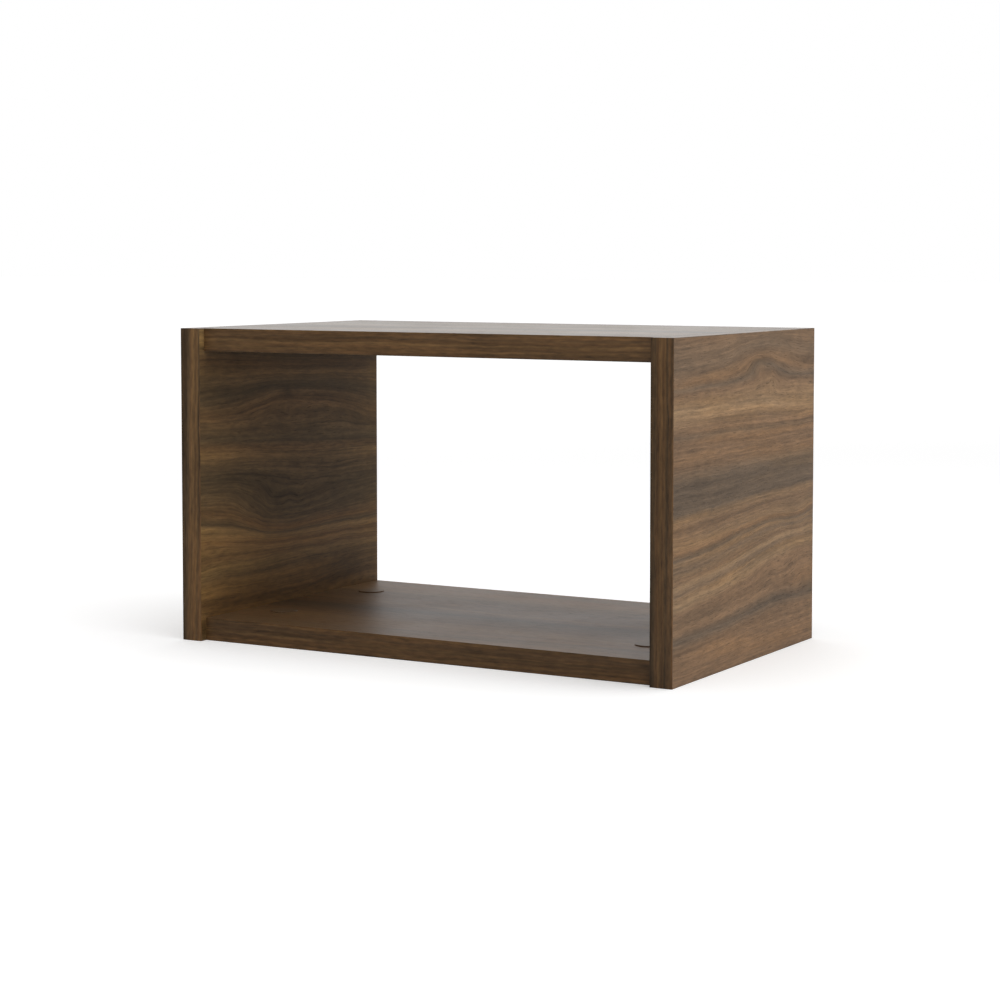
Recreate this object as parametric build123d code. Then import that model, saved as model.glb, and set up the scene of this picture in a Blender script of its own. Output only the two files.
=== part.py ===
from build123d import *
import os

# An open, double-width storage module of walnut-veneered board.
# Two side panels run the full height, and a top and a bottom panel stand between them.
# The front and the back are open, and the module rests flat on its bottom panel.
# Eight cam locks and eight dowels hold the four corners, with a cover cap over each cam lock.
#
# Millimetres. +X is to the right, the front faces -Y and +Z is up.
# The origin is the centre of the footprint, on the surface that the module stands on.

# Outer sizes and board
WIDTH = 600.0
DEPTH = 357.0
HEIGHT = 345.0
BOARD = 25.0
FRONT_SETBACK = 9.5
BACK_SETBACK = 2.0

# Edge bands, glued over the raw edges of the boards
BAND = 0.8
BAND_ROUND = 0.5

# Where the fittings are: from a side panel's inner face, and from a level panel's two long edges
CAM_FROM_SIDE = 46.0
CAM_FROM_EDGE = 83.0
DOWEL_FROM_EDGE = CAM_FROM_EDGE - 32.0

# Clearance between pieces that move on each other, and between glued or screwed pieces
RUNNING_GAP = 0.3
FIXED_GAP = 0.05

# Cam lock: a turned disc with an off-centre hollow that draws the bolt's head in
CAM_BORE_RADIUS = 12.5
CAM_BORE_BELOW_BOLT = 6.5
CAM_RADIUS = CAM_BORE_RADIUS - RUNNING_GAP
CAM_TURN = 180.0
CAM_THROW = 0.75
HOLLOW_RADIUS = 7.85
HOLLOW_HEIGHT = 7.8
NECK_SLOT_HEIGHT = 4.4
NECK_SLOT_SPARE = 16.0
MOUTH_WIDTH = 8.0
RIM_CHAMFER = 0.5
DRIVE_LENGTH = 9.0
DRIVE_WIDTH = 1.8
DRIVE_DEPTH = 3.5
ARROW_LENGTH = 3.2
ARROW_WIDTH = 4.0
ARROW_DEPTH = 0.6

# Cam bolt: distances along it are from the cam lock's axis
HEAD_START = 3.5
HEAD_SHOULDER = 5.2
HEAD_END = 6.5
HEAD_RADIUS = 3.5
HEAD_FACE_RADIUS = 2.2
NECK_RADIUS = 1.8
NECK_END = 14.0
SHAFT_RADIUS = 3.4
SHAFT_BORE_RADIUS = 4.0
THREAD_LENGTH = 12.0
THREAD_PITCH = 2.0
THREAD_RADIUS = 3.1
THREAD_CORE_RADIUS = 2.2
HEAD_DRIVE_LENGTH = 4.0
HEAD_DRIVE_WIDTH = 0.9
HEAD_DRIVE_DEPTH = 1.6

# Dowel
DOWEL_RADIUS = 4.0
DOWEL_IN_SIDE = 12.0
DOWEL_IN_LEVEL = 20.0
DOWEL_CHAMFER = 1.0
HOLE_SPARE = 1.0

# Cover cap: a low disc on a short stem that plugs into the cam lock
CAP_RADIUS = 15.0
CAP_HEIGHT = 1.2
CAP_ROUND = 0.7
STEM_RADIUS = 1.8
STEM_LENGTH = 5.0
STEM_CHAMFER = 0.5

INNER_X = WIDTH / 2 - BOARD
LEVEL_FRONT = -DEPTH / 2 + FRONT_SETBACK
LEVEL_BACK = DEPTH / 2 - BACK_SETBACK

SIDES = {"left": -1, "right": 1}
# Each level panel: the height of its mid-plane, and the way its cam locks face
LEVELS = {"bottom": (BOARD / 2, 1), "top": (HEIGHT - BOARD / 2, -1)}
ENDS = {"front": (LEVEL_FRONT, 1), "back": (LEVEL_BACK, -1)}


def block(x, y, z):
    """A box from its lowest and highest value along each axis."""
    centre = Pos((x[0] + x[1]) / 2, (y[0] + y[1]) / 2, (z[0] + z[1]) / 2)
    return centre * Box(x[1] - x[0], y[1] - y[0], z[1] - z[0])


def rod_x(start, end, radius):
    """A round bar along X, from start to end."""
    return Pos((start + end) / 2, 0, 0) * Rot(0, 90, 0) * Cylinder(radius, end - start)


def rod_z(start, end, radius):
    """A round bar along Z, from start to end."""
    return Pos(0, 0, (start + end) / 2) * Cylinder(radius, end - start)


def cross(length, width, depth):
    """The two crossed slots of a screwdriver recess, sunk from z = 0."""
    slot = Box(length, width, depth, align=(Align.CENTER, Align.CENTER, Align.MAX))
    return slot + Rot(0, 0, 90) * slot


def joint_frame(side, level, end, from_edge):
    """The frame of a fitting: +X runs to the side panel, +Z out of the level panel's inner face."""
    mid_z, facing = LEVELS[level]
    edge_y, inward = ENDS[end]
    origin = (SIDES[side] * (INNER_X - CAM_FROM_SIDE), edge_y + inward * from_edge, mid_z)
    return Plane(origin=origin, x_dir=(SIDES[side], 0, 0), z_dir=(0, 0, facing)).location


def corners():
    """Every side, level and end at which a cam lock and a dowel stand."""
    return [(side, level, end) for side in SIDES for level in LEVELS for end in ENDS]


def side_bores(side):
    """The blind holes in a side panel's inner face, for bolts and dowels."""
    bolt_hole = rod_x(CAM_FROM_SIDE - HOLE_SPARE, CAM_FROM_SIDE + THREAD_LENGTH + HOLE_SPARE,
                      THREAD_RADIUS + FIXED_GAP)
    dowel_hole = rod_x(CAM_FROM_SIDE - HOLE_SPARE, CAM_FROM_SIDE + DOWEL_IN_SIDE + HOLE_SPARE,
                       DOWEL_RADIUS + FIXED_GAP)
    holes = []
    for level in LEVELS:
        for end in ENDS:
            holes.append(joint_frame(side, level, end, CAM_FROM_EDGE) * bolt_hole)
            holes.append(joint_frame(side, level, end, DOWEL_FROM_EDGE) * dowel_hole)
    return holes


def level_bores(level):
    """The cam bores in a level panel's inner face, and the bolt and dowel holes in its ends."""
    outside = CAM_FROM_SIDE + HOLE_SPARE
    cam_bore = rod_z(-CAM_BORE_BELOW_BOLT, BOARD / 2 + HOLE_SPARE, CAM_BORE_RADIUS)
    bolt_hole = rod_x(0, outside, SHAFT_BORE_RADIUS)
    dowel_hole = rod_x(CAM_FROM_SIDE - DOWEL_IN_LEVEL - HOLE_SPARE, outside, DOWEL_RADIUS + FIXED_GAP)
    holes = []
    for side in SIDES:
        for end in ENDS:
            at_cam = joint_frame(side, level, end, CAM_FROM_EDGE)
            holes.append(at_cam * cam_bore)
            holes.append(at_cam * bolt_hole)
            holes.append(joint_frame(side, level, end, DOWEL_FROM_EDGE) * dowel_hole)
    return holes


def side_panel(side):
    """A full-height board, short of its outer size by a band on each of its four edges."""
    sign = SIDES[side]
    across = sorted((sign * INNER_X, sign * WIDTH / 2))
    board = block(across, (-DEPTH / 2 + BAND, DEPTH / 2 - BAND), (BAND, HEIGHT - BAND))
    return board - side_bores(side)


def level_panel(level):
    """The top or the bottom board, between the side panels, banded along its front and back."""
    mid_z = LEVELS[level][0]
    board = block((-INNER_X, INNER_X), (LEVEL_FRONT + BAND, LEVEL_BACK - BAND),
                  (mid_z - BOARD / 2, mid_z + BOARD / 2))
    return board - level_bores(level)


def rounded_band(band, outward):
    """A band with the long edges of its outer face rounded over."""
    outer_face = band.faces().sort_by(outward)[-1]
    length = max(edge.length for edge in outer_face.edges())
    long_edges = [edge for edge in outer_face.edges() if edge.length > length - 1]
    return fillet(long_edges, BAND_ROUND)


def side_bands(side):
    """The four bands of a side panel: the front and back ones cover the ends of the other two."""
    sign = SIDES[side]
    across = sorted((sign * INNER_X, sign * WIDTH / 2))
    front, back = -DEPTH / 2, DEPTH / 2
    between = (front + BAND, back - BAND)
    return {
        f"{side}_side_front_band": rounded_band(
            block(across, (front, front + BAND), (0, HEIGHT)), -Axis.Y),
        f"{side}_side_back_band": rounded_band(
            block(across, (back - BAND, back), (0, HEIGHT)), Axis.Y),
        f"{side}_side_top_band": rounded_band(
            block(across, between, (HEIGHT - BAND, HEIGHT)), Axis.Z),
        f"{side}_side_bottom_band": rounded_band(
            block(across, between, (0, BAND)), -Axis.Z),
    }


def level_bands(level):
    """The front and back bands of the top or bottom panel."""
    mid_z = LEVELS[level][0]
    thickness = (mid_z - BOARD / 2, mid_z + BOARD / 2)
    along = (-INNER_X, INNER_X)
    return {
        f"{level}_panel_front_band": rounded_band(
            block(along, (LEVEL_FRONT, LEVEL_FRONT + BAND), thickness), -Axis.Y),
        f"{level}_panel_back_band": rounded_band(
            block(along, (LEVEL_BACK - BAND, LEVEL_BACK), thickness), Axis.Y),
    }


def cam_lock():
    """A locked cam: bolt towards +X, mouth towards -X, loosened by a half turn about +Z."""
    top = BOARD / 2 - RUNNING_GAP
    body = rod_z(-CAM_BORE_BELOW_BOLT + RUNNING_GAP, top, CAM_RADIUS)
    body = chamfer(body.edges().filter_by(GeomType.CIRCLE), RIM_CHAMFER)
    hollow = Pos(-CAM_THROW, 0, 0) * Cylinder(HOLLOW_RADIUS, HOLLOW_HEIGHT)
    slot_arc = CAM_TURN + 2 * NECK_SLOT_SPARE
    neck_slot = Rot(0, 0, -CAM_TURN - NECK_SLOT_SPARE) * Cylinder(
        CAM_BORE_RADIUS, NECK_SLOT_HEIGHT, arc_size=slot_arc, align=(Align.NONE, Align.NONE, Align.CENTER))
    mouth = block((-CAM_BORE_RADIUS, 0), (-MOUTH_WIDTH / 2, MOUTH_WIDTH / 2),
                  (-HOLLOW_HEIGHT / 2, HOLLOW_HEIGHT / 2))
    drive = Pos(0, 0, top) * cross(DRIVE_LENGTH, DRIVE_WIDTH, DRIVE_DEPTH)
    stem_hole = rod_z(BOARD / 2 - STEM_LENGTH - RUNNING_GAP, top, STEM_RADIUS + RUNNING_GAP)
    arrow = Pos(-CAM_RADIUS + RIM_CHAMFER, 0, top) * Polyline(
        (0, 0), (ARROW_LENGTH, ARROW_WIDTH / 2), (ARROW_LENGTH, -ARROW_WIDTH / 2), close=True)
    arrow_mark = extrude(make_face(arrow), -ARROW_DEPTH)
    return body - [hollow, neck_slot, mouth, drive, stem_hole, arrow_mark]


def cam_bolt():
    """The bolt that a cam draws in: a head, a thin neck, a shaft and a coarse wood thread."""
    outline = [
        (HEAD_START, 0),
        (HEAD_START, HEAD_RADIUS),
        (HEAD_SHOULDER, HEAD_RADIUS),
        (HEAD_END, HEAD_FACE_RADIUS),
        (HEAD_END, NECK_RADIUS),
        (NECK_END, NECK_RADIUS),
        (NECK_END + SHAFT_RADIUS - NECK_RADIUS, SHAFT_RADIUS),
        (CAM_FROM_SIDE, SHAFT_RADIUS),
    ]
    for turn in range(round(THREAD_LENGTH / THREAD_PITCH)):
        root = CAM_FROM_SIDE + turn * THREAD_PITCH
        outline.append((root, THREAD_CORE_RADIUS))
        outline.append((root + THREAD_PITCH * 0.35, THREAD_CORE_RADIUS))
        outline.append((root + THREAD_PITCH * 0.6, THREAD_RADIUS))
        outline.append((root + THREAD_PITCH * 0.7, THREAD_RADIUS))
    outline.append((CAM_FROM_SIDE + THREAD_LENGTH, THREAD_CORE_RADIUS))
    outline.append((CAM_FROM_SIDE + THREAD_LENGTH, 0))
    profile = make_face(Plane.XZ * Polyline(*outline, close=True))
    bolt = revolve(profile, Axis.X)
    drive = Pos(HEAD_START, 0, 0) * Rot(0, -90, 0) * cross(
        HEAD_DRIVE_LENGTH, HEAD_DRIVE_WIDTH, HEAD_DRIVE_DEPTH)
    return bolt - drive


def dowel():
    """A beech dowel across the joint, with chamfered ends."""
    rod = rod_x(CAM_FROM_SIDE - DOWEL_IN_LEVEL, CAM_FROM_SIDE + DOWEL_IN_SIDE, DOWEL_RADIUS)
    return chamfer(rod.edges().filter_by(GeomType.CIRCLE), DOWEL_CHAMFER)


def cover_cap():
    """A low round cap that lies on the panel, with a stem down into the cam lock's recess."""
    face = BOARD / 2
    disc = rod_z(face, face + CAP_HEIGHT, CAP_RADIUS)
    disc = fillet(disc.edges().filter_by(GeomType.CIRCLE).sort_by(Axis.Z)[-1], CAP_ROUND)
    stem = rod_z(face - STEM_LENGTH, face, STEM_RADIUS)
    stem = chamfer(stem.edges().filter_by(GeomType.CIRCLE).sort_by(Axis.Z)[0], STEM_CHAMFER)
    return disc + stem


def make_nodes():
    """Every separate piece of the module, under its own name."""
    nodes = {}
    for side in SIDES:
        nodes[f"{side}_side_panel"] = side_panel(side)
        nodes.update(side_bands(side))
    for level in LEVELS:
        nodes[f"{level}_panel"] = level_panel(level)
        nodes.update(level_bands(level))
    fittings = {"cam_lock": cam_lock(), "cam_bolt": cam_bolt(), "cover_cap": cover_cap()}
    dowel_piece = dowel()
    for side, level, end in corners():
        at_cam = joint_frame(side, level, end, CAM_FROM_EDGE)
        for name, piece in fittings.items():
            nodes[f"{name}_{level}_{side}_{end}"] = at_cam * piece
        at_dowel = joint_frame(side, level, end, DOWEL_FROM_EDGE)
        nodes[f"dowel_{level}_{side}_{end}"] = at_dowel * dowel_piece
    return nodes


os.makedirs("parts", exist_ok=True)
for node, shape in make_nodes().items():
    export_step(shape, f"parts/{node}.step")
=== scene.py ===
import math

import bpy
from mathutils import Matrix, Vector


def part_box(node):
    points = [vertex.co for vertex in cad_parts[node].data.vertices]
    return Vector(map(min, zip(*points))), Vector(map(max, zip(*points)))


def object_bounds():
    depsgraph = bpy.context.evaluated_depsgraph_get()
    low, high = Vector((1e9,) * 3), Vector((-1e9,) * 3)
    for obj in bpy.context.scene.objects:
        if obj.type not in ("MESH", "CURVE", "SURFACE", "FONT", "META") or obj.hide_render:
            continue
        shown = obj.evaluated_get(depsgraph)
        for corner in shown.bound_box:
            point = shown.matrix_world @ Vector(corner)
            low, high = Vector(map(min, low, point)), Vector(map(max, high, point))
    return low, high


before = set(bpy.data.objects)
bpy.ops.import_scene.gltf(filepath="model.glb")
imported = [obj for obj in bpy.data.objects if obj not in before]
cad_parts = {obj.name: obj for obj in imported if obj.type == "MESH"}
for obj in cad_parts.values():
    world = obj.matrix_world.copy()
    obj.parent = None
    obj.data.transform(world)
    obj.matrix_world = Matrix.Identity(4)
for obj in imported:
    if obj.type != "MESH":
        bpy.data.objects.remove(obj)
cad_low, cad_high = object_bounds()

# An open, double-width storage module in walnut veneer, in metres.
# The CAD nodes keep their shapes. This script gives each one its material, and makes the studio round them.

scene = bpy.context.scene
MM = 0.001
HEIGHT = cad_high.z - cad_low.z


# ---------------------------------------------------------------- wood tones (linear)

PALE = (0.245, 0.158, 0.084)
TAN = (0.210, 0.131, 0.068)
BROWN = (0.181, 0.108, 0.057)
SMOKE = (0.150, 0.098, 0.058)
UMBER = (0.121, 0.084, 0.054)
DARK = (0.080, 0.053, 0.033)


class Veneer:
    """One leaf of veneer: its tones from one long edge to the other, and how its grain runs.

    tones: (percent of the way across the leaf, tone)
    tint: multiplies every tone
    slope: how far the grain climbs across the leaf for each metre along it
    wander: how far the grain strays to each side of its line, in metres
    eyes: swellings that the grain flows round: (along, across, reach before, after and across, lift)
    spots_and_painted_light: soft darker or paler spots, of figure and of painted light and shade:
    (along, across, reach along and across, change)
    streaks: the strength of the growth lines
    """

    def __init__(self, tones, seed, tint=(1, 1, 1), slope=0.0, wander=0.01,
                 eyes=(), spots_and_painted_light=(), streaks=1.0):
        tinted = [[part * share for part, share in zip(tone, tint)] for percent, tone in tones]
        self.tones = [(percent / 100, color) for (percent, tone), color in zip(tones, tinted)]
        self.seed = seed
        self.slope = slope
        self.wander = wander
        self.eyes = eyes
        self.spots_and_painted_light = spots_and_painted_light
        self.streaks = streaks


# ---------------------------------------------------------------- node helpers

class Tree:
    """A short way to write a material's nodes: each method makes one node and returns its output."""

    def __init__(self, name):
        self.material = bpy.data.materials.new(name)
        self.material.use_nodes = True
        self.nodes = self.material.node_tree.nodes
        self.links = self.material.node_tree.links
        self.shader = self.nodes["Principled BSDF"]

    def set(self, socket, value):
        if isinstance(value, bpy.types.NodeSocket):
            self.links.new(value, socket)
        else:
            socket.default_value = value

    def place(self):
        """The three object coordinates, in metres."""
        where = self.nodes.new("ShaderNodeTexCoord")
        split = self.nodes.new("ShaderNodeSeparateXYZ")
        self.links.new(where.outputs["Object"], split.inputs[0])
        return split.outputs

    def math(self, operation, first, second=0.0):
        node = self.nodes.new("ShaderNodeMath")
        node.operation = operation
        self.set(node.inputs[0], first)
        self.set(node.inputs[1], second)
        return node.outputs[0]

    def point(self, x, y, z):
        node = self.nodes.new("ShaderNodeCombineXYZ")
        for socket, value in zip(node.inputs, (x, y, z)):
            self.set(socket, value)
        return node.outputs[0]

    def noise(self, x, y, z, detail=2.0, roughness=0.5):
        """Noise from 0 to 1 at a point whose coordinates are already in cells."""
        node = self.nodes.new("ShaderNodeTexNoise")
        node.inputs["Scale"].default_value = 1.0
        node.inputs["Detail"].default_value = detail
        node.inputs["Roughness"].default_value = roughness
        self.links.new(self.point(x, y, z), node.inputs["Vector"])
        return node.outputs["Fac"]

    def speckle(self, place, cells, detail=2.0):
        """Noise with so many cells to the metre along X, Y and Z, or the same number along all three."""
        counts = cells if isinstance(cells, tuple) else (cells, cells, cells)
        scaled = [self.math("MULTIPLY", part, count) for part, count in zip(place, counts)]
        return self.noise(*scaled, detail)

    def fit(self, value, low, high, new_low=0.0, new_high=1.0):
        """The value carried smoothly from low..high to new_low..new_high, and held at the ends."""
        node = self.nodes.new("ShaderNodeMapRange")
        node.interpolation_type = "SMOOTHSTEP"
        ends = {"From Min": low, "From Max": high, "To Min": new_low, "To Max": new_high}
        for name, number in ends.items():
            node.inputs[name].default_value = number
        self.set(node.inputs["Value"], value)
        return node.outputs["Result"]

    def ramp(self, value, stops):
        node = self.nodes.new("ShaderNodeValToRGB")
        elements = node.color_ramp.elements
        elements[0].position, elements[1].position = stops[0][0], stops[-1][0]
        elements[0].color, elements[1].color = (*stops[0][1], 1), (*stops[-1][1], 1)
        for position, color in stops[1:-1]:
            elements.new(position).color = (*color, 1)
        self.set(node.inputs["Fac"], value)
        return node.outputs["Color"]

    def mix(self, factor, first, second, blend="MIX"):
        node = self.nodes.new("ShaderNodeMix")
        node.data_type = "RGBA"
        node.blend_type = blend
        colors = [socket for socket in node.inputs if socket.type == "RGBA"]
        self.set(node.inputs[0], factor)
        for socket, value in zip(colors, (first, second)):
            self.set(socket, value)
        return [socket for socket in node.outputs if socket.type == "RGBA"][0]

    def tint(self, color, amount):
        """The colour times a number that varies over the surface."""
        return self.mix(1.0, color, self.point(amount, amount, amount), "MULTIPLY")

    def bump(self, height, strength, distance):
        node = self.nodes.new("ShaderNodeBump")
        node.inputs["Strength"].default_value = strength
        node.inputs["Distance"].default_value = distance
        self.links.new(height, node.inputs["Height"])
        self.links.new(node.outputs["Normal"], self.shader.inputs["Normal"])

    def gloss(self, roughness, specular=0.5):
        self.set(self.shader.inputs["Roughness"], roughness)
        self.shader.inputs["IOR"].default_value = 1.5
        self.shader.inputs["Specular IOR Level"].default_value = specular


# ---------------------------------------------------------------- veneer

# How fine each kind of detail is: cells to the metre along the grain, and cells to the metre across it
GRAIN_SWAY = (2.6, 8.0)
GRAIN_RIPPLE = (16.0, 50.0)
EYE_SWAY_ALONG = (9.0, 14.0)
EYE_SWAY_ACROSS = (12.0, 12.0)
CLOUDS = (3.0, 34.0)
BROAD_LINES = (2.5, 130.0)
NARROW_LINES = (7.0, 380.0)
SHARP_LINES = (1.4, 85.0)
SHARP_PATCHES = (5.0, 26.0)
FLECKS = (75.0, 420.0)
FIBRES = (30.0, 900.0)
PORES = (80.0, 1500.0)
MOTTLE = (38.0, 34.0)

# Uneven lacquer, in cells to the metre each way
SMEARS = 9.0

# How far the ripple and the swaying eyes stray, in metres
RIPPLE_REACH = 0.0022
EYE_REACH_ALONG = 0.03
EYE_REACH_ACROSS = 0.012

# How much each kind of detail changes the light, as a share of it
BROAD_CHANGE = 0.14
NARROW_CHANGE = 0.15
SHARP_CHANGE = 0.26
FLECK_CHANGE = 0.13
FIBRE_CHANGE = 0.13
MOTTLE_CHANGE = 0.07
PORE_CHANGE = 0.32

SMOKY_CLOUD = (0.83, 0.87, 0.92, 1)
WARM_CLOUD = (1.12, 1.06, 0.93, 1)
PORE_ROUGHNESS = 0.12
SMEAR_ROUGHNESS = 0.03
RELIEF = 0.15 * MM


def hill(tree, along, across, before, after, reach_across):
    """A smooth swelling: 1 where along and across are 0, with its own reach before and after that place."""
    ahead = tree.math("DIVIDE", tree.math("MAXIMUM", along, 0.0), after)
    behind = tree.math("DIVIDE", tree.math("MINIMUM", along, 0.0), before)
    far_along = tree.math("ADD", ahead, behind)
    far_across = tree.math("DIVIDE", across, reach_across)
    square = tree.math("ADD", tree.math("MULTIPLY", far_along, far_along),
                       tree.math("MULTIPLY", far_across, far_across))
    return tree.math("EXPONENT", tree.math("MULTIPLY", square, -1.0))


def grain_height(tree, leaf, along, across):
    """Which growth line of the leaf a place is on: its height across the leaf before the grain was bent."""

    def stray(cells, seed, reach):
        noise = tree.noise(tree.math("MULTIPLY", along, cells[0]), tree.math("MULTIPLY", across, cells[1]),
                           leaf.seed + seed)
        return tree.math("MULTIPLY", tree.math("SUBTRACT", noise, 0.5), 2 * reach)

    straight = tree.math("ADD", across, tree.math("MULTIPLY", along, -leaf.slope))
    grain = tree.math("ADD", straight, stray(GRAIN_SWAY, 0, leaf.wander))
    grain = tree.math("ADD", grain, stray(GRAIN_RIPPLE, 3, RIPPLE_REACH))
    bent_along = tree.math("ADD", along, stray(EYE_SWAY_ALONG, 5, EYE_REACH_ALONG))
    bent_across = tree.math("ADD", straight, stray(EYE_SWAY_ACROSS, 6, EYE_REACH_ACROSS))
    for eye_along, eye_across, before, after, reach_across, lift in leaf.eyes:
        swelling = hill(tree, tree.math("SUBTRACT", bent_along, eye_along),
                        tree.math("SUBTRACT", bent_across, eye_across), before, after, reach_across)
        grain = tree.math("ADD", grain, tree.math("MULTIPLY", swelling, lift))
    return grain


def veneer_surface(tree, leaf, along, across, span):
    """Colour and relief of a leaf, at a place along and across it in metres."""
    grain = grain_height(tree, leaf, along, across)

    def grained(cells, seed, detail, roughness=0.5):
        """Noise drawn out along the grain."""
        return tree.noise(tree.math("MULTIPLY", along, cells[0]), tree.math("MULTIPLY", grain, cells[1]),
                          leaf.seed + seed, detail, roughness)

    def shade(light, factor):
        return tree.math("MULTIPLY", light, factor)

    def shade_both_ways(light, noise, margin, change):
        """Darker and lighter by the change, as the noise goes from the margin to 1 less the margin."""
        return shade(light, tree.fit(noise, margin, 1.0 - margin, 1.0 - change, 1.0 + change))

    def darken(light, mask, change):
        return shade(light, tree.math("SUBTRACT", 1.0, tree.math("MULTIPLY", mask, change)))

    tone = tree.ramp(tree.math("DIVIDE", grain, span), leaf.tones)
    cloud = grained(CLOUDS, 7, 3.0)
    smoky = tree.mix(1.0, tone, SMOKY_CLOUD, "MULTIPLY")
    warm = tree.mix(1.0, tone, WARM_CLOUD, "MULTIPLY")
    tone = tree.mix(tree.fit(cloud, 0.50, 0.68, 0.0, 0.65), tone, smoky)
    tone = tree.mix(tree.fit(cloud, 0.48, 0.34, 0.0, 0.8), tone, warm)

    # Growth lines: broad soft ones, narrow ones, and here and there a sharp dark one
    broad = grained(BROAD_LINES, 11, 3.0, 0.6)
    narrow = grained(NARROW_LINES, 13, 2.0)
    light = shade_both_ways(1.0, broad, 0.25, BROAD_CHANGE * leaf.streaks)
    light = shade_both_ways(light, narrow, 0.25, NARROW_CHANGE * leaf.streaks)
    edge = tree.math("ABSOLUTE", tree.math("SUBTRACT", grained(SHARP_LINES, 17, 3.0), 0.5))
    present = tree.fit(grained(SHARP_PATCHES, 19, 1.0), 0.46, 0.62)
    sharp = tree.math("MULTIPLY", tree.fit(edge, 0.0, 0.03, 1.0, 0.0), present)
    light = darken(light, sharp, SHARP_CHANGE * leaf.streaks)

    # Short flecks, fibres, open pores, and the soft mottle of figured wood
    fleck = grained(FLECKS, 37, 2.0, 0.6)
    fibre = grained(FIBRES, 23, 3.0, 0.6)
    pores = tree.fit(grained(PORES, 29, 1.0), 0.60, 0.72)
    mottle = grained(MOTTLE, 31, 2.0)
    light = shade_both_ways(light, fleck, 0.25, FLECK_CHANGE * leaf.streaks)
    light = shade_both_ways(light, fibre, 0.2, FIBRE_CHANGE)
    light = shade_both_ways(light, mottle, 0.2, MOTTLE_CHANGE)
    light = darken(light, pores, PORE_CHANGE)
    # Soft darker and paler spots: figure of the wood, and on some leaves painted light and shade
    for spot_along, spot_across, reach_along, reach_across, change in leaf.spots_and_painted_light:
        spot = hill(tree, tree.math("SUBTRACT", along, spot_along),
                    tree.math("SUBTRACT", across, spot_across), reach_along, reach_along, reach_across)
        light = shade(light, tree.math("ADD", 1.0, tree.math("MULTIPLY", spot, change)))
    relief = tree.math("SUBTRACT", tree.math("MULTIPLY", fibre, 0.35), pores)
    return tree.tint(tone, light), relief, pores


def veneer_material(name, leaves, axes, low, span, roughness, chooser=None):
    """A lacquered board with one leaf of veneer, or two that chooser, an axis and a place on it, parts."""
    tree = Tree(name)
    place = tree.place()
    along = place[axes[0]]
    across = tree.math("SUBTRACT", place[axes[1]], low)
    color, relief, pores = veneer_surface(tree, leaves[0], along, across, span)
    if chooser is not None:
        other_color, other_relief, other_pores = veneer_surface(tree, leaves[1], along, across, span)
        second = tree.math("GREATER_THAN", place[chooser[0]], chooser[1])
        first = tree.math("SUBTRACT", 1.0, second)
        color = tree.mix(second, color, other_color)
        relief = tree.math("ADD", tree.math("MULTIPLY", relief, first),
                           tree.math("MULTIPLY", other_relief, second))
        pores = tree.math("ADD", tree.math("MULTIPLY", pores, first),
                          tree.math("MULTIPLY", other_pores, second))
    smear = tree.speckle(place, SMEARS, 3.0)
    smeared = tree.fit(smear, 0.2, 0.8, roughness - SMEAR_ROUGHNESS, roughness + SMEAR_ROUGHNESS)
    tree.set(tree.shader.inputs["Base Color"], color)
    tree.gloss(tree.math("ADD", smeared, tree.math("MULTIPLY", pores, PORE_ROUGHNESS)))
    tree.bump(relief, 0.25, RELIEF)
    return tree.material


# ---------------------------------------------------------------- the leaves of veneer

X, Y, Z = 0, 1, 2
SIDE_ROUGHNESS = 0.45
TOP_ROUGHNESS = 0.34
FLOOR_ROUGHNESS = 0.47

RIGHT_OUTER = Veneer(
    [(0, BROWN), (11, BROWN), (13.5, UMBER), (16, BROWN), (21, BROWN), (23, PALE), (25, TAN), (26, SMOKE),
     (28, PALE), (29.5, BROWN), (31, TAN), (32.5, SMOKE), (34.5, TAN), (36, UMBER), (38, BROWN), (40, TAN),
     (45, BROWN), (48, TAN), (50, UMBER), (59, UMBER), (61, SMOKE), (63.5, BROWN), (71, BROWN),
     (72.5, SMOKE), (74, BROWN), (80, PALE), (82.5, TAN), (84.5, BROWN), (86, UMBER), (87.5, BROWN),
     (92, SMOKE), (100, BROWN)],
    seed=11.3, tint=(1.05, 1.01, 0.95), slope=0.012, wander=0.007,
    eyes=((0.03, 0.318, 0.06, 0.08, 0.026, -0.016), (0.125, 0.146, 0.04, 0.03, 0.014, 0.010),
          (0.16, 0.112, 0.24, 0.20, 0.050, -0.032), (0.18, 0.262, 0.20, 0.20, 0.035, 0.012)),
    spots_and_painted_light=((0.035, 0.320, 0.022, 0.010, -0.16), (0.160, 0.312, 0.018, 0.006, -0.20),
             (-0.138, 0.232, 0.012, 0.003, -0.22), (0.115, 0.146, 0.012, 0.009, -0.20),
             (0.085, 0.073, 0.085, 0.005, -0.14), (-0.10, 0.193, 0.12, 0.020, -0.13),
             # The last spot is painted light: the face lighter along its whole bottom edge, where light
             # from the floor falls
             (0.11, 0.183, 0.10, 0.014, -0.10), (0.0, 0.050, 0.40, 0.050, 0.10)))
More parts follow.
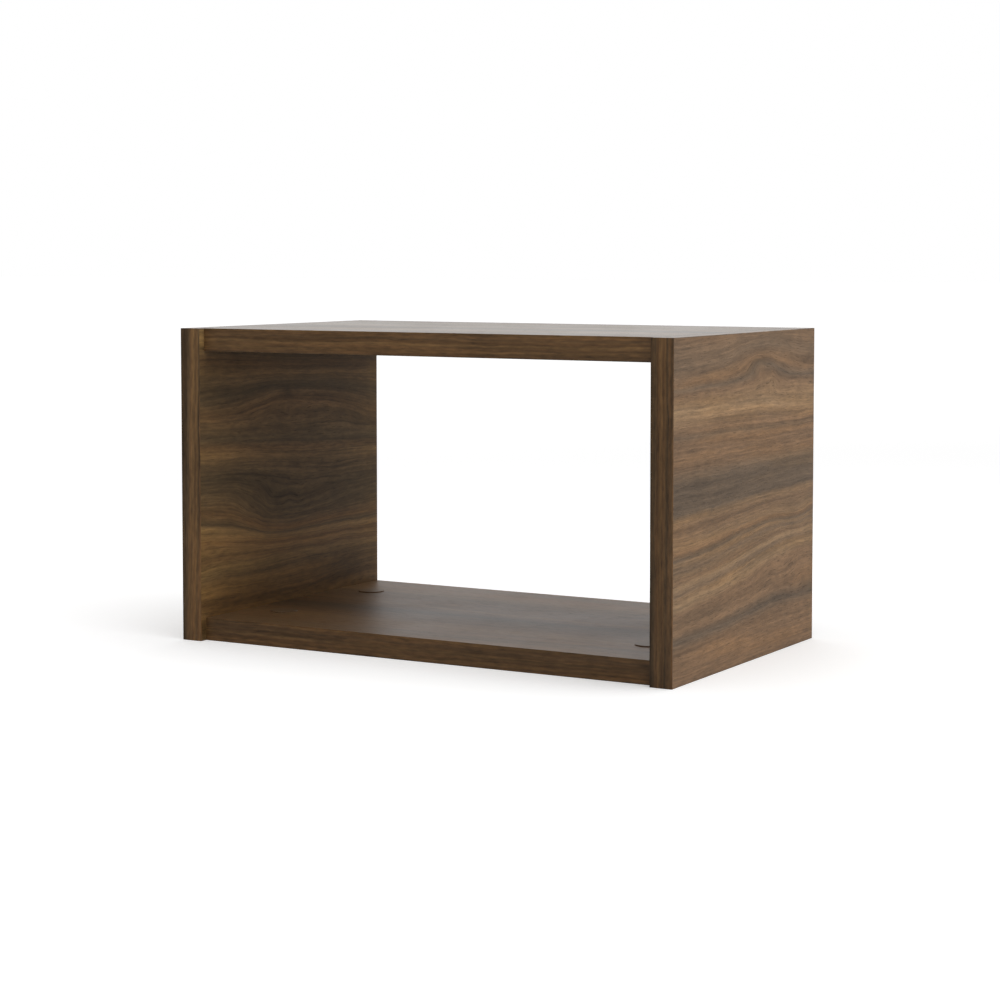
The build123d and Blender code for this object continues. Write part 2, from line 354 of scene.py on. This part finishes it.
# The inner face of the left side. Its tint, warmer and darker than the outer faces', is painted shade, and
# its tones, paler low down and darker towards the top board, are partly painted light and shade.
LEFT_INNER = Veneer(
    [(0, SMOKE), (8, BROWN), (13, TAN), (16, SMOKE), (19, PALE), (22, BROWN), (25, TAN), (28, BROWN),
     (30, TAN), (33, PALE), (34.5, UMBER), (38, BROWN), (42, SMOKE), (46, UMBER), (50, UMBER), (54, SMOKE),
     (58, TAN), (60, BROWN), (62, UMBER), (63, UMBER), (65, SMOKE), (70, BROWN), (75, UMBER), (79, SMOKE),
     (82, TAN), (85, BROWN), (89, UMBER), (95, UMBER), (100, DARK)],
    seed=4.7, tint=(1.00, 0.875, 0.52), slope=-0.045, wander=0.015, streaks=1.35,
    eyes=((-0.03, 0.125, 0.065, 0.17, 0.032, 0.031), (-0.02, 0.262, 0.08, 0.20, 0.030, -0.016),
          (0.17, 0.065, 0.22, 0.10, 0.045, -0.022)),
    # Besides spots of figure, these paint the shade inside: darker low at the back, darker towards the back
    # edge, darker along under the top board, and lighter low towards the front.
    spots_and_painted_light=((-0.012, 0.267, 0.010, 0.007, -0.40), (0.004, 0.181, 0.010, 0.004, -0.40),
             (0.11, 0.050, 0.06, 0.022, -0.35), (-0.12, 0.106, 0.05, 0.004, 0.25),
             (-0.13, 0.284, 0.05, 0.004, 0.20), (0.0, 0.335, 0.40, 0.070, -0.50),
             (-0.08, 0.080, 0.16, 0.040, 0.28), (0.16, 0.150, 0.08, 0.30, -0.20),
             # A painted highlight on the strip of this face ahead of the top board, and painted shade on
             # the strip ahead of the bottom board
             (-0.174, 0.334, 0.010, 0.013, 2.60), (-0.174, 0.012, 0.010, 0.014, -0.45)))
PLAIN_TONES = [(0, BROWN), (9, SMOKE), (15, BROWN), (24, TAN), (31, BROWN), (38, SMOKE), (45, UMBER),
               (52, BROWN), (58, TAN), (66, BROWN), (73, SMOKE), (80, TAN), (88, BROWN), (94, SMOKE),
               (100, BROWN)]
MIRRORED_TONES = [(100 - percent, tone) for percent, tone in reversed(PLAIN_TONES)]
LEFT_OUTER = Veneer(PLAIN_TONES, seed=23.1, slope=-0.03, wander=0.014,
                    eyes=((-0.06, 0.215, 0.05, 0.16, 0.035, 0.032),
                          (0.05, 0.08, 0.10, 0.05, 0.025, -0.020)))
# The warmer, darker tint of this inner face is painted shade
RIGHT_INNER = Veneer(MIRRORED_TONES, seed=37.9, tint=(1.03, 0.93, 0.70), slope=0.03, wander=0.014,
                     eyes=((0.08, 0.11, 0.14, 0.05, 0.034, -0.031),))
# The top face's cooler, greyer tint is a painted reflection of the white backdrop
TOP_UPPER = Veneer(PLAIN_TONES, seed=51.2, tint=(0.83, 0.90, 1.0), slope=0.015, wander=0.012,
                   eyes=((-0.12, 0.19, 0.06, 0.24, 0.038, 0.036), (0.20, 0.07, 0.12, 0.05, 0.024, -0.018)))
# The warmer, darker tints of the under face of the top and the upper face of the bottom are painted shade
TOP_UNDER = Veneer(MIRRORED_TONES, seed=63.8, tint=(1.03, 0.93, 0.70), slope=-0.01, wander=0.014)
BOTTOM_UPPER = Veneer(PLAIN_TONES, seed=77.7, tint=(1.05, 0.94, 0.74), wander=0.012, streaks=0.7,
                      eyes=((0.10, 0.20, 0.22, 0.08, 0.034, 0.034),))
BOTTOM_UNDER = Veneer(MIRRORED_TONES, seed=89.4, slope=0.02, wander=0.014)

SIDE_BAND_TONES = [(0, DARK), (20, UMBER), (30, BROWN), (40, TAN), (46, PALE), (54, BROWN), (62, TAN),
                   (72, UMBER), (82, BROWN), (92, SMOKE), (100, BROWN)]
LEVEL_BAND_TONES = [(0, UMBER), (10, BROWN), (24, TAN), (38, BROWN), (50, PALE), (62, BROWN), (74, SMOKE),
                    (84, BROWN), (94, TAN), (100, TAN)]
FIRST_BAND_SEED = 101.0
BAND_SEED_STEP = 7.3
BAND_WARMTH = (0.97, 0.79, 0.48)
TOP_BAND_WARMTH = (0.80, 0.80, 0.80)

# For each board: how bright its bands are, and how far their grain climbs for each metre along them
BAND_LIGHT = {"left": 0.92, "right": 0.65, "top": 0.69, "bottom": 0.63}
BAND_SLOPE = {"left": 0.023, "right": 0.004, "top": 0.004, "bottom": 0.004}


def dress(node, material):
    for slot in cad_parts[node].material_slots:
        slot.material = material


def dress_panels():
    for side, leaves in (("left", (LEFT_OUTER, LEFT_INNER)), ("right", (RIGHT_INNER, RIGHT_OUTER))):
        low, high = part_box(f"{side}_side_panel")
        dress(f"{side}_side_panel", veneer_material(
            f"veneer_{side}_side", leaves, (Y, Z), 0.0, HEIGHT, SIDE_ROUGHNESS, (X, (low.x + high.x) / 2)))
    for level, leaves, roughness in (("top", (TOP_UNDER, TOP_UPPER), TOP_ROUGHNESS),
                                     ("bottom", (BOTTOM_UNDER, BOTTOM_UPPER), FLOOR_ROUGHNESS)):
        low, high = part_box(f"{level}_panel")
        dress(f"{level}_panel", veneer_material(
            f"veneer_{level}", leaves, (X, Y), low.y, high.y - low.y, roughness, (Z, (low.z + high.z) / 2)))


def band_leaf(board, where, tones, seed):
    if where == "top":
        tint = TOP_BAND_WARMTH
    else:
        tint = [share * BAND_LIGHT[board] for share in BAND_WARMTH]
    return Veneer(tones, seed, tint, slope=BAND_SLOPE[board], wander=0.003, streaks=1.6)


def dress_bands():
    seed = FIRST_BAND_SEED
    for side in ("left", "right"):
        low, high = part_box(f"{side}_side_panel")
        for where, along in (("front", Z), ("back", Z), ("top", Y), ("bottom", Y)):
            seed += BAND_SEED_STEP
            roughness = TOP_ROUGHNESS if where == "top" else SIDE_ROUGHNESS
            leaf = band_leaf(side, where, SIDE_BAND_TONES, seed)
            dress(f"{side}_side_{where}_band", veneer_material(
                f"band_{side}_{where}", (leaf,), (along, X), low.x, high.x - low.x, roughness))
    for level in ("top", "bottom"):
        low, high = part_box(f"{level}_panel")
        for where in ("front", "back"):
            seed += BAND_SEED_STEP
            leaf = band_leaf(level, where, LEVEL_BAND_TONES, seed)
            dress(f"{level}_panel_{where}_band", veneer_material(
                f"band_{level}_{where}", (leaf,), (X, Z), low.z, high.z - low.z, SIDE_ROUGHNESS))


# ---------------------------------------------------------------- fittings

CAP_BROWN = (0.175, 0.105, 0.052, 1)
ZINC_GREY = (0.50, 0.51, 0.53, 1)
STEEL_GREY = (0.70, 0.69, 0.64, 1)
BEECH_PALE = (0.62, 0.41, 0.24, 1)
BEECH_DARK = (0.40, 0.23, 0.12, 1)

# Cells to the metre; the bolts and dowels lie along X
CAP_GRIT = 2600.0
CAP_SMEARS = 60.0
CAST_GRIT = 1400.0
CAST_CLOUDS = 120.0
TURNING_MARKS = (5000.0, 300.0, 300.0)
BEECH_FLECKS = (300.0, 2200.0, 2200.0)
BEECH_RINGS = (20.0, 420.0, 420.0)


def plastic_material():
    tree = Tree("cap_plastic")
    place = tree.place()
    grit = tree.speckle(place, CAP_GRIT)
    smear = tree.speckle(place, CAP_SMEARS)
    tree.set(tree.shader.inputs["Base Color"], tree.tint(CAP_BROWN, tree.fit(smear, 0.2, 0.8, 0.9, 1.1)))
    tree.gloss(tree.fit(grit, 0.2, 0.8, 0.42, 0.56))
    tree.bump(grit, 0.2, 0.04 * MM)
    return tree.material


def zinc_material():
    tree = Tree("cast_zinc")
    place = tree.place()
    grit = tree.speckle(place, CAST_GRIT, 3.0)
    cloud = tree.speckle(place, CAST_CLOUDS)
    tree.set(tree.shader.inputs["Base Color"], tree.tint(ZINC_GREY, tree.fit(cloud, 0.2, 0.8, 0.85, 1.1)))
    tree.shader.inputs["Metallic"].default_value = 1.0
    tree.gloss(tree.fit(grit, 0.2, 0.8, 0.38, 0.55))
    tree.bump(grit, 0.25, 0.05 * MM)
    return tree.material


def steel_material():
    tree = Tree("bright_steel")
    turned = tree.speckle(tree.place(), TURNING_MARKS)
    tree.set(tree.shader.inputs["Base Color"], tree.tint(STEEL_GREY, tree.fit(turned, 0.2, 0.8, 0.9, 1.1)))
    tree.shader.inputs["Metallic"].default_value = 1.0
    tree.gloss(tree.fit(turned, 0.2, 0.8, 0.22, 0.34))
    tree.bump(turned, 0.15, 0.03 * MM)
    return tree.material


def beech_material():
    tree = Tree("beech")
    place = tree.place()
    fleck = tree.speckle(place, BEECH_FLECKS)
    ring = tree.speckle(place, BEECH_RINGS, 3.0)
    pale = tree.tint(BEECH_PALE, tree.fit(ring, 0.25, 0.75, 0.82, 1.12))
    color = tree.mix(tree.fit(fleck, 0.58, 0.7, 0.0, 0.6), pale, BEECH_DARK)
    tree.set(tree.shader.inputs["Base Color"], color)
    tree.gloss(tree.fit(ring, 0.2, 0.8, 0.6, 0.75))
    tree.bump(fleck, 0.3, 0.08 * MM)
    return tree.material


def dress_fittings():
    kinds = {"cover_cap": plastic_material(), "cam_lock": zinc_material(),
             "cam_bolt": steel_material(), "dowel": beech_material()}
    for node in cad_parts:
        for kind, material in kinds.items():
            if node.startswith(kind):
                dress(node, material)


# ---------------------------------------------------------------- studio

# The studio is brightest behind the module. A wide softbox hangs over it, and one stands to its right.
# Each world light: its strengths away from the back wall and towards it, and the cosines between which it
# rises from one to the other.
BACK_WALL_WAY = (-0.5, 0.87, 0.0)
DIFFUSE_WORLD = ((0.27, 0.9), (0.3, 0.95))
GLOSSY_WORLD = ((0.06, 1.15), (0.55, 0.95))

# The floor's glow rises with the distance from FLOOR_DIM.
# Each glow: the distances between which it rises, and its strengths at the two.
FLOOR_WHITE = 0.9
FLOOR_REACH = 30.0
FLOOR_DIM = (0.6, 0.15)
NEAR_GLOW = (0.2, 0.75, 0.14, 0.38)
FAR_GLOW = (1.2, 5.0, 0.0, 0.36)

# Each softbox: its place, the point that it is aimed at, its size, its power in watts, its share of shine
OVERHEAD_SOFTBOX = ((0.8, 0.0, 2.3), (0.0, 0.0, 0.15), (3.0, 3.0), 52.0, 1.0)
RIGHT_SOFTBOX = ((2.3, 0.2, 0.55), (0.3, 0.0, 0.17), (1.6, 0.8), 11.5, 2.0)

# The camera's angles are in degrees, its lens in millimetres, and its shift is a share of the frame
CAMERA_PLACE = (1.2883, -2.2304, 0.4268)
CAMERA_DIP = 3.582
CAMERA_TURN = 29.966
LENS = 84.225
FRAME_SHIFT = -0.1


def world_light(tree, strengths, cosines):
    """A background whose strength rises towards the wall behind the module."""
    way = tree.nodes.new("ShaderNodeTexCoord")
    dot = tree.nodes.new("ShaderNodeVectorMath")
    dot.operation = "DOT_PRODUCT"
    dot.inputs[1].default_value = BACK_WALL_WAY
    ramp = tree.nodes.new("ShaderNodeMapRange")
    ramp.interpolation_type = "SMOOTHSTEP"
    ramp.inputs["From Min"].default_value, ramp.inputs["From Max"].default_value = cosines
    ramp.inputs["To Min"].default_value, ramp.inputs["To Max"].default_value = strengths
    background = tree.nodes.new("ShaderNodeBackground")
    background.inputs["Color"].default_value = (1, 1, 1, 1)
    tree.links.new(way.outputs["Generated"], dot.inputs[0])
    tree.links.new(dot.outputs["Value"], ramp.inputs["Value"])
    tree.links.new(ramp.outputs["Result"], background.inputs["Strength"])
    return background.outputs[0]


def make_world():
    world = bpy.data.worlds.new("studio")
    scene.world = world
    world.use_nodes = True
    tree = world.node_tree
    tree.nodes.clear()
    out = tree.nodes.new("ShaderNodeOutputWorld")
    backdrop = tree.nodes.new("ShaderNodeBackground")
    backdrop.inputs["Color"].default_value = (1, 1, 1, 1)
    path = tree.nodes.new("ShaderNodeLightPath")
    glossy = tree.nodes.new("ShaderNodeMixShader")
    seen = tree.nodes.new("ShaderNodeMixShader")
    tree.links.new(path.outputs["Is Glossy Ray"], glossy.inputs["Fac"])
    tree.links.new(world_light(tree, *DIFFUSE_WORLD), glossy.inputs[1])
    tree.links.new(world_light(tree, *GLOSSY_WORLD), glossy.inputs[2])
    tree.links.new(path.outputs["Is Camera Ray"], seen.inputs["Fac"])
    tree.links.new(glossy.outputs[0], seen.inputs[1])
    tree.links.new(backdrop.outputs[0], seen.inputs[2])
    tree.links.new(seen.outputs[0], out.inputs[0])


def area_light(name, place, aim, size, power, shine):
    data = bpy.data.lights.new(name, "AREA")
    data.shape = "RECTANGLE"
    data.size, data.size_y = size
    data.energy = power
    data.specular_factor = shine
    light = bpy.data.objects.new(name, data)
    light.location = place
    light.rotation_euler = (Vector(aim) - Vector(place)).to_track_quat("-Z", "Y").to_euler()
    scene.collection.objects.link(light)


def make_floor():
    """A pale floor that glows more with distance, and so runs into the white backdrop with no horizon."""
    mesh = bpy.data.meshes.new("floor")
    corners = [(-FLOOR_REACH, -FLOOR_REACH, 0), (FLOOR_REACH, -FLOOR_REACH, 0),
               (FLOOR_REACH, FLOOR_REACH, 0), (-FLOOR_REACH, FLOOR_REACH, 0)]
    mesh.from_pydata(corners, [], [(0, 1, 2, 3)])
    floor = bpy.data.objects.new("floor", mesh)
    scene.collection.objects.link(floor)
    tree = Tree("studio_floor")
    place = tree.place()
    aside = [tree.math("SUBTRACT", place[axis], FLOOR_DIM[axis]) for axis in (X, Y)]
    square = tree.math("ADD", *[tree.math("MULTIPLY", offset, offset) for offset in aside])
    distance = tree.math("SQRT", square)
    glow = tree.math("ADD", tree.fit(distance, *NEAR_GLOW), tree.fit(distance, *FAR_GLOW))
    tree.shader.inputs["Base Color"].default_value = (FLOOR_WHITE, FLOOR_WHITE, FLOOR_WHITE, 1)
    tree.shader.inputs["Emission Color"].default_value = (1, 1, 1, 1)
    tree.set(tree.shader.inputs["Emission Strength"], glow)
    tree.gloss(1.0, specular=0.0)
    mesh.materials.append(tree.material)
    floor.visible_glossy = False


def make_camera():
    """At the front right, looking down a little."""
    data = bpy.data.cameras.new("camera")
    data.sensor_width = 36.0
    data.lens = LENS
    data.shift_y = FRAME_SHIFT
    data.clip_end = 100.0
    camera = bpy.data.objects.new("camera", data)
    camera.location = CAMERA_PLACE
    camera.rotation_euler = (math.radians(90.0 - CAMERA_DIP), 0.0, math.radians(CAMERA_TURN))
    scene.collection.objects.link(camera)
    scene.camera = camera


def make_studio():
    scene.view_settings.view_transform = "Standard"
    make_world()
    make_floor()
    area_light("overhead_softbox", *OVERHEAD_SOFTBOX)
    area_light("right_softbox", *RIGHT_SOFTBOX)
    make_camera()


dress_panels()
dress_bands()
dress_fittings()
make_studio()
